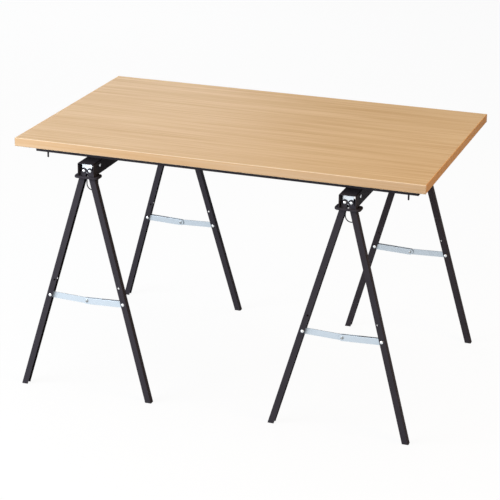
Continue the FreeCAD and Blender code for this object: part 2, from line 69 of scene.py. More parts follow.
RIGHT = Vector((1, 0, 0))
BACK = Vector((0, 1, 0))
UP = Vector((0, 0, 1))
TO_BACK = Matrix.Rotation(-math.pi / 2, 4, "X")
# Lengths below this count as nothing.
TINY = 1e-6
# Points as near as this are merged where two half circles meet.
SEAM = 4 * TINY
# A face looks to a side if its normal goes that way by more than this.
FACING = 0.9
# Edges that turn by more than this are folds or corners, and get rounded.
SHARP = math.radians(38)
# Faces that turn by less than this become one.
FLAT = math.radians(0.1)
ROUND_FACETS = 32
HALF_ROUND_FACETS = 12
DOME_FACETS = 6
FOLD_FACETS = 5
EDGE_FACETS = 2
EDGE_ROUND = 0.0003
WHITE = (1, 1, 1, 1)


# Modelling


class Element(Enum):
    """What edit mode picks, with the name of its list in the mesh."""

    VERT = "verts"
    EDGE = "edges"
    FACE = "faces"


def pick(*pieces: Piece) -> None:
    """Select these objects alone, with the first one active.

    Args:
        pieces: The objects.
    """
    bpy.ops.object.select_all(action="DESELECT")
    for piece in pieces:
        piece.select_set(True)
    bpy.context.view_layer.objects.active = pieces[0]


@contextmanager
def editing(piece: Piece, element: Element, wanted: Callable[[Any], bool]) -> Iterator[None]:
    """Work in edit mode on some elements of a piece.

    Args:
        piece: The object to edit.
        element: The kind of element to pick.
        wanted: A test that picks the elements.

    Yields:
        Nothing. The piece is in edit mode until the block ends.
    """
    pick(piece)
    bpy.ops.object.mode_set(mode="EDIT")
    bpy.ops.mesh.select_mode(type=element.name)
    bpy.ops.mesh.select_all(action="DESELECT")
    mesh = bmesh.from_edit_mesh(piece.data)
    for item in getattr(mesh, element.value):
        if wanted(item):
            item.select_set(True)
    mesh.select_flush_mode()
    bmesh.update_edit_mesh(piece.data)
    yield
    bpy.ops.object.mode_set(mode="OBJECT")


def every(_: Any) -> bool:
    """Pick every element."""
    return True


def middle(edge: Edge) -> Vector:
    """Give the middle of an edge."""
    return (edge.verts[0].co + edge.verts[1].co) / 2


def runs_along(edge: Edge, axis: Vector) -> bool:
    """Tell whether an edge runs along an axis."""
    return (edge.verts[1].co - edge.verts[0].co).cross(axis).length < TINY


def looks(face: Face, *sides: Vector) -> bool:
    """Tell whether a face looks to one of these sides."""
    return any(face.normal.dot(side) > FACING for side in sides)


def add_block(name: str, low: Vector, high: Vector) -> Piece:
    """Add a box between two corners, with its place in its mesh.

    Args:
        name: The new object's name.
        low: The lowest corner.
        high: The highest corner.

    Returns:
        The box, as a start for further shaping.
    """
    bpy.ops.object.select_all(action="DESELECT")
    bpy.ops.mesh.primitive_cube_add(size=1, location=(low + high) / 2)
    piece = bpy.context.object
    piece.name = name
    piece.scale = high - low
    bpy.ops.object.transform_apply()
    return piece


def add_rod(name: str, radius: float, start: Vector, end: Vector) -> Piece:
    """Add a round rod between two points, mostly as a drill.

    Args:
        name: The new object's name.
        radius: The rod's radius.
        start: The middle of one end.
        end: The middle of the other end.

    Returns:
        The rod.
    """
    along = end - start
    bpy.ops.object.select_all(action="DESELECT")
    bpy.ops.mesh.primitive_cylinder_add(
        vertices=ROUND_FACETS,
        radius=radius,
        depth=along.length,
        location=(start + end) / 2,
        rotation=along.to_track_quat("Z", "Y").to_euler(),
    )
    piece = bpy.context.object
    piece.name = name
    bpy.ops.object.transform_apply()
    return piece


def round_edges(
    piece: Piece, radius: float, wanted: Callable[[Edge], bool], segments: int = FOLD_FACETS
) -> None:
    """Round some edges of a piece.

    Args:
        piece: The object to change.
        radius: The rounding's radius.
        wanted: A test that picks the edges.
        segments: How many facets each rounding has.
    """
    with editing(piece, Element.EDGE, wanted):
        bpy.ops.mesh.bevel(offset=radius, segments=segments, affect="EDGES")


def add_obround(name: str, low: Vector, high: Vector, across: Vector) -> Piece:
    """Add a bar whose shorter sides are rounded to half circles.

    Args:
        name: The new object's name.
        low: The lowest corner.
        high: The highest corner.
        across: The axis that the round ends turn about.

    Returns:
        The bar.
    """
    bar = add_block(name, low, high)
    width = min(size for size, on in zip(high - low, across) if not on)
    round_edges(bar, width / 2 - TINY, lambda edge: runs_along(edge, across), HALF_ROUND_FACETS)
    with editing(bar, Element.VERT, every):
        bpy.ops.mesh.remove_doubles(threshold=SEAM)
    return bar


def add_turned(name: str, profile: list[tuple[float, float]]) -> Piece:
    """Turn a profile about the Z axis, as on a lathe.

    Args:
        name: The new object's name.
        profile: Radius and height of each point, from the lower pole to the upper one.

    Returns:
        The closed round piece.
    """
    mesh = bpy.data.meshes.new(name)
    edges = [(index, index + 1) for index in range(len(profile) - 1)]
    mesh.from_pydata([(radius, 0, height) for radius, height in profile], edges, [])
    piece = bpy.data.objects.new(name, mesh)
    bpy.context.scene.collection.objects.link(piece)
    with editing(piece, Element.VERT, every):
        bpy.ops.mesh.spin(steps=ROUND_FACETS, angle=math.tau, center=(0, 0, 0), axis=UP)
        bpy.ops.mesh.select_all(action="SELECT")
        bpy.ops.mesh.remove_doubles(threshold=TINY)
        bpy.ops.mesh.normals_make_consistent(inside=False)
    return piece


def quarter(steps: int, start: float = 0) -> list[float]:
    """List the angles from a start to a right angle, in even steps."""
    return [start + (math.pi / 2 - start) * step / steps for step in range(steps + 1)]


def modify(piece: Piece, kind: str, **settings: Any) -> None:
    """Add a modifier with its settings and apply it.

    Args:
        piece: The object to change.
        kind: The modifier's type.
        settings: Its properties.
    """
    modifier = piece.modifiers.new(kind.title(), kind)
    for name, value in settings.items():
        setattr(modifier, name, value)
    pick(piece)
    bpy.ops.object.modifier_apply(modifier=modifier.name)


def open_sides(piece: Piece, *sides: Vector) -> None:
    """Take away a piece's faces on these sides, which leaves an open shell."""
    with editing(piece, Element.FACE, lambda face: looks(face, *sides)):
        bpy.ops.mesh.delete(type="FACE")


def fold_sheet(piece: Piece, bend: float, sheet: float) -> None:
    """Round the folds of an open shell and give it the thickness of its sheet, inwards.

    Args:
        piece: The shell, whose faces point outwards.
        bend: The outer radius of its folds.
        sheet: The sheet's thickness.
    """
    round_edges(piece, bend, lambda edge: edge.is_manifold and edge.calc_face_angle() > SHARP)
    modify(piece, "SOLIDIFY", thickness=sheet, offset=-1, use_even_offset=True)


def carve(piece: Piece, tools: list[Piece], operation: str = "DIFFERENCE") -> None:
    """Cut a piece with tools, which are used up, and clean the cut.

    Args:
        piece: The object to cut.
        tools: Closed objects.
        operation: DIFFERENCE takes the tools away, INTERSECT keeps what lies in them.
    """
    for tool in tools:
        modify(piece, "BOOLEAN", object=tool, operation=operation, solver="EXACT")
        bpy.data.objects.remove(tool)
    with editing(piece, Element.VERT, every):
        bpy.ops.mesh.remove_doubles(threshold=TINY)
        bpy.ops.mesh.dissolve_limited(angle_limit=FLAT)


def cut_below(piece: Piece) -> None:
    """Cut away what lies below the XY plane, and close the cut."""
    with editing(piece, Element.FACE, every):
        bpy.ops.mesh.bisect(plane_co=(0, 0, 0), plane_no=UP, clear_inner=True, use_fill=True)


def shade(piece: Piece) -> None:
    """Shade a piece's curves smooth, and keep its edges sharp."""
    pick(piece)
    bpy.ops.object.shade_smooth_by_angle(angle=SHARP)


def soften(piece: Piece, width: float = EDGE_ROUND, segments: int = EDGE_FACETS) -> None:
    """Round the sharp edges of a finished piece and shade its curves smooth, its flat faces even.

    Args:
        piece: The object to finish.
        width: How far the rounding reaches from each edge.
        segments: How many facets it has.
    """
    modify(piece, "BEVEL", width=width, segments=segments, limit_method="ANGLE", angle_limit=SHARP)
    with editing(piece, Element.EDGE, lambda edge: edge.is_boundary):
        bpy.ops.mesh.fill_holes(sides=0)
    shade(piece)
    modify(piece, "WEIGHTED_NORMAL", keep_sharp=True)


def copied(model: Piece, name: str, place: Matrix) -> Piece:
    """Copy a model with a mesh of its own, and put it in its place.

    Args:
        model: The piece to copy.
        name: The copy's name.
        place: Where it goes.

    Returns:
        The copy, whose object stays at the origin.
    """
    piece = bpy.data.objects.new(name, model.data.copy())
    bpy.context.scene.collection.objects.link(piece)
    piece.data.transform(place)
    return piece


def joined(name: str, pieces: list[Piece]) -> Piece:
    """Make one object of several.

    Args:
        name: The name that it gets.
        pieces: The objects, which become one.

    Returns:
        The object.
    """
    pick(*pieces)
    bpy.ops.object.join()
    pieces[0].name = name
    return pieces[0]


def set_copies(model: Piece, name: str, places: Iterable[Matrix]) -> Piece:
    """Make one object of copies of a model.

    Args:
        model: The piece to copy.
        name: The object's name.
        places: Where the copies go.

    Returns:
        The object.
    """
    return joined(name, [copied(model, f"{name}_copy", place) for place in places])


def discard(*models: Piece) -> None:
    """Remove models once all their copies are in place."""
    for model in models:
        bpy.data.objects.remove(model)


# Finishes


class Mix:
    """The Mix node's sockets by number, because their names repeat for each kind of value.

    VALUE and COLOUR are its outputs, the others its inputs.
    """

    FACTOR = 0
    FIRST_VALUE = 2
    SECOND_VALUE = 3
    FIRST_COLOUR = 6
    SECOND_COLOUR = 7
    VALUE = 0
    COLOUR = 2


def linear(code: str) -> tuple[float, float, float, float]:
    """Turn an sRGB hex colour to a linear one.

    Args:
        code: The colour, as #RRGGBB.

    Returns:
        Red, green, blue and a full alpha.
    """
    shares = [int(code[index:index + 2], 16) / 255 for index in (1, 3, 5)]
    red, green, blue = (
        share / 12.92 if share <= 0.04045 else ((share + 0.055) / 1.055) ** 2.4 for share in shares
    )
    return red, green, blue, 1.0


def add_node(
    tree: Tree, kind: str, inputs: dict[str | int, Any] | None = None, **settings: Any
) -> bpy.types.Node:
    """Add a shader node.

    Args:
        tree: The material's node tree.
        kind: The node's type.
        inputs: Values, or sockets to link, for its inputs by name or number.
        settings: Its properties.

    Returns:
        The node.
    """
    node = tree.nodes.new(kind)
    for name, value in settings.items():
        setattr(node, name, value)
    for name, value in (inputs or {}).items():
        if isinstance(value, Socket):
            tree.links.new(value, node.inputs[name])
        else:
            node.inputs[name].default_value = value
    return node


def new_material(name: str) -> tuple[bpy.types.Material, Tree, bpy.types.Node]:
    """Make a material.

    Args:
        name: Its name.

    Returns:
        The material, its node tree and its Principled shader.
    """
    material = bpy.data.materials.new(name)
    material.use_nodes = True
    tree = material.node_tree
    return material, tree, tree.nodes["Principled BSDF"]


@dataclass(frozen=True)
class PaintedLight:
    """Painted light: a second colour on the level parts of a surface, as a painted highlight or painted
    shade.

    Attributes:
        code: The colour.
        slope: How level a face is where the colour starts, and where it is full; 1 is level.
        below: Whether faces that point down have it too.
    """

    code: str
    slope: tuple[float, float]
    below: bool = False

    def over(self, tree: Tree, colour: Socket) -> Socket:
        """Lay the colour over another.

        Args:
            tree: The material's node tree.
            colour: The colour elsewhere.

        Returns:
            The two colours together.
        """
        normal = add_node(tree, "ShaderNodeTexCoord").outputs["Normal"]
        level = add_node(tree, "ShaderNodeSeparateXYZ", {"Vector": normal}).outputs["Z"]
        if self.below:
            level = add_node(tree, "ShaderNodeMath", {0: level}, operation="ABSOLUTE").outputs["Value"]
        start, full = self.slope
        share = add_node(
            tree, "ShaderNodeMapRange", {"Value": level, "From Min": start, "From Max": full}
        )
        both = add_node(
            tree,
            "ShaderNodeMix",
            {
                Mix.FACTOR: share.outputs["Result"],
                Mix.FIRST_COLOUR: colour,
                Mix.SECOND_COLOUR: linear(self.code),
            },
            data_type="RGBA",
        )
        return both.outputs[Mix.COLOUR]


@dataclass(frozen=True)
class Finish:
    """What the finishes share: two tones that drift into each other, uneven gloss and a fine relief.

    Attributes:
        name: The material's name.
        tone: The main colour.
        drift: The colour that it drifts to.
        roughness: The mean roughness.
        swing: How far the roughness goes to each side of it.
        strength: How strongly the relief shows.
        depth: How deep the relief is.
        painted_light: A painted highlight or painted shade on the level parts, if there is one.
    """

    name: str
    tone: str
    drift: str
    roughness: float
    swing: float
    strength: float
    depth: float
    painted_light: PaintedLight | None = None

    def dress(
        self, tree: Tree, shader: bpy.types.Node, share: Socket, gloss: Socket, relief: Socket
    ) -> None:
        """Link the colour, the gloss and the relief to a shader.

        Args:
            tree: The material's node tree.
            shader: Its shader.
            share: The pattern that the tones follow.
            gloss: The pattern that the roughness follows.
            relief: The pattern that the bumps follow.
        """
        colour = add_node(
            tree,
            "ShaderNodeMix",
            {
                Mix.FACTOR: share,
                Mix.FIRST_COLOUR: linear(self.tone),
                Mix.SECOND_COLOUR: linear(self.drift),
            },
            data_type="RGBA",
        ).outputs[Mix.COLOUR]
        # Lays on painted light: the band's painted highlight and the stay's painted shade, by which way the
        # faces point.
        if self.painted_light:
            colour = self.painted_light.over(tree, colour)
        rough = add_node(
            tree,
            "ShaderNodeMapRange",
            {
                "Value": gloss,
                "To Min": self.roughness - self.swing,
                "To Max": self.roughness + self.swing,
            },
        )
        bumps = add_node(
            tree, "ShaderNodeBump", {"Height": relief, "Strength": self.strength, "Distance": self.depth}
        )
        tree.links.new(colour, shader.inputs["Base Color"])
        tree.links.new(rough.outputs["Result"], shader.inputs["Roughness"])
        tree.links.new(bumps.outputs["Normal"], shader.inputs["Normal"])


class Grain(Enum):
    """How a wood print lies: the streak's direction and the direction across it."""

    TOP = (RIGHT, BACK)
    LONG_EDGE = (RIGHT, UP)


@dataclass(frozen=True)
class PrintedWood(Finish):
    """Melamine laminate with a printed beech grain, pressed satin.

    The eye sees a pale even tan, with broad soft streaks and fine lines that run along the table. On a band
    the rounded edges, above and below, get a painted highlight, a thin paler line.
    """

    grain: Grain = Grain.TOP
    roughness: float = 0.42
    swing: float = 0.06
    strength: float = 0.08
    depth: float = 0.0004
    shine: float = 0.06
    streak_length: float = 0.8
    streak_width: float = 0.034
    line_length: float = 0.42
    line_width: float = 0.005
    line_share: float = 0.62
    contrast: tuple[float, float] = (0.36, 0.64)

    def build(self) -> bpy.types.Material:
        """Make the material; the fine lines are drawn a few times as wide as real so that they show.

        Returns:
            The material.
        """
        material, tree, shader = new_material(self.name)
        place = add_node(tree, "ShaderNodeTexCoord").outputs["Object"]
        along, across = self.grain.value
        broad, fine = (
            add_node(
                tree,
                "ShaderNodeMapping",
                {"Vector": place, "Scale": along / length + across / width},
            ).outputs["Vector"]
            for length, width in (
                (self.streak_length, self.streak_width),
                (self.line_length, self.line_width),
            )
        )
        streaks = add_node(
            tree,
            "ShaderNodeTexNoise",
            {"Vector": broad, "Scale": 1.0, "Detail": 3.0, "Roughness": 0.55, "Distortion": 0.4},
        ).outputs["Fac"]
        lines = add_node(
            tree, "ShaderNodeTexNoise", {"Vector": fine, "Scale": 1.0, "Detail": 4.0, "Roughness": 0.6}
        ).outputs["Fac"]
        both = add_node(
            tree,
            "ShaderNodeMix",
            {Mix.FACTOR: self.line_share, Mix.FIRST_VALUE: streaks, Mix.SECOND_VALUE: lines},
        )
        lightest, darkest = self.contrast
        share = add_node(
            tree,
            "ShaderNodeMapRange",
            {"Value": both.outputs[Mix.VALUE], "From Min": lightest, "From Max": darkest},
        )
        self.dress(tree, shader, share.outputs["Result"], gloss=lines, relief=lines)
        shader.inputs["Specular IOR Level"].default_value = self.shine
        return material


@dataclass(frozen=True)
class PowderCoat(Finish):
    """Black powder coat, sprayed and baked on steel.

    The eye sees a dark satin grey with a fine orange peel, and soft light along the bends.
    """

    roughness: float = 0.58
    swing: float = 0.05
    strength: float = 0.12
    depth: float = 0.0002
    shine: float = 0.015
    peel: float = 0.0016
    cloud_size: float = 0.05

    def build(self) -> bpy.types.Material:
        """Make the material; the peel is drawn about twice as coarse as real so that it shows.

        Returns:
            The material.
        """
        material, tree, shader = new_material(self.name)
        place = add_node(tree, "ShaderNodeTexCoord").outputs["Object"]
        clouds, peel = (
            add_node(
                tree, "ShaderNodeTexNoise", {"Vector": place, "Scale": 1 / size, "Detail": detail}
            ).outputs["Fac"]
            for size, detail in ((self.cloud_size, 3.0), (self.peel, 1.0))
        )
        self.dress(tree, shader, clouds, gloss=clouds, relief=peel)
        shader.inputs["Specular IOR Level"].default_value = self.shine
        return material


@dataclass(frozen=True)
class BrightPlate(Finish):
    """Bright zinc plating, clear passivated, on pressed or drawn steel.

    The eye sees a pale metal with a cool tint, faint cloudy patches and fine rolling lines. Where the faces
    that point up get painted shade, a grey line runs along the upper edge.
    """

    swing: float = 0.06
    strength: float = 0.02
    depth: float = 0.0001
    cloud_size: float = 0.018
    line: float = 0.0004
    line_stretch: float = 10

    def build(self) -> bpy.types.Material:
        """Make the material; the rolling lines are drawn coarser than real so that they show.

        Returns:
            The material.
        """
        material, tree, shader = new_material(self.name)
        place = add_node(tree, "ShaderNodeTexCoord").outputs["Object"]
        clouds = add_node(
            tree, "ShaderNodeTexNoise", {"Vector": place, "Scale": 1 / self.cloud_size, "Detail": 4.0}
        ).outputs["Fac"]
        rolled = add_node(
            tree,
            "ShaderNodeMapping",
            {"Vector": place, "Scale": (RIGHT / self.line_stretch + BACK + UP) / self.line},
        ).outputs["Vector"]
        lines = add_node(
            tree, "ShaderNodeTexNoise", {"Vector": rolled, "Scale": 1.0, "Detail": 2.0}
        ).outputs["Fac"]
        self.dress(tree, shader, clouds, gloss=lines, relief=lines)
        shader.inputs["Metallic"].default_value = 1.0
        return material


class Palette:
    """The table's finishes, each made once."""

    def __init__(self) -> None:
        """Make the materials."""
        # Pressed laminate: long pale streaks with hardly any gloss.
        self.top = PrintedWood("beech_laminate", "#DFBE8E", "#C59C66", line_width=0.0064).build()
        # Glued band: paler than the top, with a painted highlight, a light line along its rounded upper and
        # lower edges.
        painted_edge_highlight = PaintedLight("#F1D9B8", slope=(0.15, 0.45), below=True)
        self.long_edge = PrintedWood(
            "beech_edge_band", "#E6C59F", "#DAB284", painted_light=painted_edge_highlight, grain=Grain.LONG_EDGE
        ).build()
        # The band at the ends: the same band, painted a warmer, deeper tan for the warm shade on the ends,
        # with next to no gloss.
        self.end_edge = PrintedWood("beech_end_band", "#ECBA82", "#E1AB6E", shine=0.01).build()
        # Powder coat: a dark satin that turns grey where light falls on it.
        self.black = PowderCoat("black_powder_coat", "#464349", "#3C393F").build()
        # Zinc on brackets and screws: pale and cool.
        self.zinc = BrightPlate("bright_zinc_plate", "#D0D6DA", "#C0C8CE", roughness=0.55).build()
        # Zinc on the stays: greyer, with painted shade on the faces that point up, which makes a grey line
        # along the upper edge.
        painted_top_shade = PaintedLight("#5A6068", slope=(0.5, 0.9))
        self.stay = BrightPlate(
            "handled_zinc_plate", "#B9C3CB", "#AFB9C2", roughness=0.6, painted_light=painted_top_shade
        ).build()
        # Zinc on rivet heads: the brightest spots.
        self.rivet = BrightPlate("zinc_plated_rivet", "#E4E7E9", "#D2D7DB", roughness=0.3).build()
        # Tubular rivet: darker, so that its pit shows.
        self.tubular = BrightPlate("steel_tubular_rivet", "#A3A9AD", "#8F9599", roughness=0.35).build()
        # Drawn wire: a thin dark line with a soft shine.
        self.wire = BrightPlate("drawn_steel_wire", "#44484C", "#35393C", roughness=0.35).build()


def repaint(node: str, material: bpy.types.Material) -> None:
    """Give a node that keeps its shape a better finish.

    Args:
        node: The node's name.
        material: Its finish.
    """
    for holder in frame["nodes"][node].material_slots:
        holder.material = material
    log.info("%s keeps its shape", node)


def hand_over(piece: Piece, body: str, material: bpy.types.Material, node: str) -> None:
    """Give a finished piece its finish, its body and the node that it stands for.

    Args:
        piece: The finished object.
        body: The body that it moves with.
        material: Its finish.
        node: The node that it replaces.
    """
    piece.data.materials.clear()
    piece.data.materials.append(material)
    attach(piece, body)
    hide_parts(node)
    log.info("%s rides on %s", piece.name, body)


# Places


class End(Enum):
    """A trestle's ends, each with its legs: first the one that carries the stay's channel link."""

    FRONT = ("front", "right", "left")
    BACK = ("back", "left", "right")


def find_joint(name: str) -> dict[str, Any]:
    """Find a joint of the frame by its name."""
    return next(joint for joint in frame["joints"] if joint["name"] == name)


def upright(origin: Vector, across: Vector) -> Matrix:
    """Make a frame with +Y along an axis and +Z as upright as the axis lets it be.

    Args:
        origin: The frame's origin.
        across: The axis.

    Returns:
        The frame.
    """
    y = across.normalized()
    z = (UP - y * y.dot(UP)).normalized()
    turn = Matrix((y.cross(z), y, z)).transposed().to_4x4()
    return Matrix.Translation(origin) @ turn


@dataclass(frozen=True)
class Pair:
    """Where a pair of legs stands, read from its joints."""

    trestle: str
    end: End

    @property
    def name(self) -> str:
        """Give the pair's name, as its nodes have it."""
        return f"{self.trestle}_{self.end.value[0]}"

    @property
    def sides(self) -> tuple[str, str]:
        """Give the side of the leg with the channel link, then that of the other."""
        return self.end.value[1:]

    def hinge(self, side: str) -> dict[str, Any]:
        """Find the joint that a leg turns on."""
        return find_joint(f"{self.name}_{side}_leg_hinge")

    def leg(self, side: str) -> Matrix:
        """Give a leg's frame: at its pivot, -Z down the leg and +X to its outer side.

        Args:
            side: The leg's side.

        Returns:
            The frame.
        """
        joint = self.hinge(side)
        splay = math.radians(joint["range_deg"][1])
        return upright(Vector(joint["pos_m"]), Vector(joint["axis"])) @ Matrix.Rotation(-splay, 4, "Y")

    def pivots(self) -> list[Vector]:
        """List the points that the legs turn on."""
        return [Vector(self.hinge(side)["pos_m"]) for side in self.sides]

    def pivot_half(self) -> float:
        """Give half the distance between the pivots."""
        one, other = self.pivots()
        return (one - other).length / 2

    def head(self) -> Matrix:
        """Give the head's frame: between the pivots, +Y towards the middle of the table."""
        one, other = self.pivots()
        return upright((one + other) / 2, Vector(self.hinge(self.sides[0])["axis"]))

    def hooks(self) -> Vector:
        """Give the middle of the wire loop's hooks."""
        return Vector(find_joint(f"{self.name}_wire_loop_swing")["pos_m"])

    def links(self, dip: float) -> tuple[Matrix, Matrix, float]:
        """Give the stay's frames.

        Args:
            dip: How far the stay's middle lies below its ends.

        Returns:
            The channel link's and the flat link's frames, at their legs and with +X to the stay's middle,
            and their length.
        """
        joints = [find_joint(f"{self.name}_{link}_link_hinge") for link in ("channel", "flat")]
        ends = [Vector(joint["pos_m"]) for joint in joints]
        centre = (ends[0] + ends[1]) / 2 - self.head().col[2].to_3d() * dip
        frames = []
        for joint, end in zip(joints, ends):
            x = (centre - end).normalized()
            y = -Vector(joint["axis"])
            turn = Matrix((x, y, x.cross(y))).transposed().to_4x4()
            frames.append(Matrix.Translation(end) @ turn)
        return frames[0], frames[1], (centre - ends[0]).length


# Sub-assemblies


@dataclass
class Rivet:
    """A rivet with a domed head at one or both ends, each with a pit in its middle.

    shank, head and pit_radius are radii, and pit_floor is the share of the pit's radius that is flat.
    """

    shank: float = 0.003
    head: float = 0.0047
    rise: float = 0.0022
    rim: float = 0.0004
    pit: float = 0.0004
    pit_radius: float = 0.0011
    pit_floor: float = 0.6
    hole_gap: float = 0.0001

    @property
    def hole(self) -> float:
        """Give the radius of the hole that it goes through."""
        return self.shank + self.hole_gap

    def model(self, name: str, length: float, heads: int = 2) -> Piece:
        """Turn a rivet that stands on the XY plane, with the head of a single-headed one on top.

        Args:
            name: The new object's name.
            length: The shank, between the heads' undersides.
            heads: One or two.

        Returns:
            The rivet.
        """
        floor = self.rise - self.pit
        lip = math.asin(self.pit_radius / self.head)
        dome = [(0, floor), (self.pit_floor * self.pit_radius, floor)]
        dome += [
            (self.head * math.sin(turn), self.rim + (self.rise - self.rim) * math.cos(turn))
            for turn in quarter(DOME_FACETS, lip)
        ]
        dome.append((self.head, 0))
        upper = [(self.shank, length)] + [(radius, length + height) for radius, height in reversed(dome)]
        lower = [(radius, -height) for radius, height in dome] + [(self.shank, 0)]
        profile = (lower if heads == 2 else [(0, 0), (self.shank, 0)]) + upper
        rivet = add_turned(name, profile)
        shade(rivet)
        return rivet


@dataclass
class Tabletop:
    """The loose top: board, edge bands, hat-shaped steel rails, wood screws and stop pins."""

    palette: Palette
    rail_lip: float = 0.015
    rail_sheet: float = 0.0016
    rail_bend: float = 0.0024
    screw_radius: float = 0.002
    screw_head: float = 0.004
    screw_rise: float = 0.0024
    screw_bite: float = 0.015
    screw_inset: float = 0.045
    screws_per_lip: int = 5
    recess_length: float = 0.0046
    recess_width: float = 0.0009
    recess_depth: float = 0.0017
    pin_radius: float = 0.0025
    pin_inset: float = 0.0305
    pin_head: float = 0.005
    pin_dome: float = 0.003
    pin_edge: float = 0.0002
    pin_facets: int = 5
    drill_gap: float = 0.0001
    drill_reach: float = 0.0048

    def build(self) -> None:
        """Dress the board and its bands, and build what hangs below."""
        repaint("tabletop_board", self.palette.top)
        for sides, material in (
            (("front", "back"), self.palette.long_edge),
            (("left", "right"), self.palette.end_edge),
        ):
            for side in sides:
                repaint(f"{side}_edge_band", material)
        for node in ("front_rail", "back_rail"):
            self.build_rail(node)
        self.build_screws()
        self.build_pins()

    def screw_places(self, node: str) -> list[Vector]:
        """List where a rail's screws go in, on the undersides of its lips.

        Args:
            node: The rail's node.

        Returns:
            The places.
        """
        low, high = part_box(node)
        span = high.x - low.x - 2 * self.screw_inset
        return [
            Vector((
                low.x + self.screw_inset + span * step / (self.screws_per_lip - 1),
                y,
                high.z - self.rail_sheet,
            ))
            for y in (low.y + self.rail_lip / 2, high.y - self.rail_lip / 2)
            for step in range(self.screws_per_lip)
        ]

    def pin_places(self, node: str) -> list[Vector]:
        """List where a rail's stop pins go through its underside.

        Args:
            node: The rail's node.

        Returns:
            The places.
        """
        low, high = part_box(node)
        return [
            Vector((x, (low.y + high.y) / 2, low.z))
            for x in (low.x + self.pin_inset, high.x - self.pin_inset)
        ]

    def build_rail(self, node: str) -> None:
        """Fold a rail from sheet: a trough with a lip along each side.

        Args:
            node: The rail's node.
        """
        low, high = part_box(node)
        rail = add_block(
            f"{node}_folded",
            Vector((low.x, low.y + self.rail_lip, low.z)),
            Vector((high.x, high.y - self.rail_lip, high.z - self.rail_sheet)),
        )
        open_sides(rail, UP, RIGHT, -RIGHT)
        centre = (low + high) / 2
        for side in (-1, 1):
            with editing(
                rail,
                Element.EDGE,
                lambda edge: middle(edge).z > centre.z
                and runs_along(edge, RIGHT)
                and (middle(edge).y - centre.y) * side > self.rail_lip / 2,
            ):
                bpy.ops.mesh.extrude_edges_move(
                    TRANSFORM_OT_translate={"value": (0, side * self.rail_lip, 0)}
                )
        fold_sheet(rail, self.rail_bend, self.rail_sheet)
        reach = UP * self.drill_reach
        drills = [
            add_rod("drill", radius + self.drill_gap, place - reach, place + reach)
            for radius, places in (
                (self.screw_radius, self.screw_places(node)),
                (self.pin_radius, self.pin_places(node)),
            )
            for place in places
        ]
        carve(rail, [joined("drills", drills)])
        soften(rail)
        hand_over(rail, "tabletop", self.palette.black, node)

    def build_screws(self) -> None:
        """Turn a pan-head wood screw, cut its cross recess and set a copy in each place."""
        profile = [
            (self.screw_head * math.sin(turn), -self.screw_rise * math.cos(turn))
            for turn in quarter(DOME_FACETS)
        ]
        taper = 2 * self.screw_radius
        top = self.rail_sheet + self.screw_bite
        profile += [(self.screw_radius, 0), (self.screw_radius, top - taper), (0, top)]
        screw = add_turned("screw", profile)
        half = Vector((self.recess_length / 2, self.recess_width / 2, self.recess_depth))
        across = Vector((half.y, half.x, half.z))
        base = UP * -self.screw_rise
        carve(screw, [add_block("recess", base - size, base + size) for size in (half, across)])
        shade(screw)
        places = self.screw_places("front_rail") + self.screw_places("back_rail")
        screws = set_copies(screw, "rail_screws_cross_recess", map(Matrix.Translation, places))
        discard(screw)
        hand_over(screws, "tabletop", self.palette.zinc, "rail_screws")

    def build_pins(self) -> None:
        """Turn a stop pin with a round tip and a head inside the rail, and set a copy in each place."""
        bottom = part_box("stop_pins")[0].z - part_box("front_rail")[0].z
        turns = quarter(self.pin_facets)
        tip = [
            (self.pin_radius * math.sin(turn), bottom + self.pin_radius * (1 - math.cos(turn)))
            for turn in turns
        ]
        head = [
            (self.pin_head * math.cos(turn), self.rail_sheet + self.pin_dome * math.sin(turn))
            for turn in turns
        ]
        pin = add_turned("pin", tip + [(self.pin_radius, self.rail_sheet)] + head)
        soften(pin, self.pin_edge)
        places = self.pin_places("front_rail") + self.pin_places("back_rail")
        pins = set_copies(pin, "stop_pins_turned", map(Matrix.Translation, places))
        discard(pin)
        hand_over(pins, "tabletop", self.palette.black, "stop_pins")


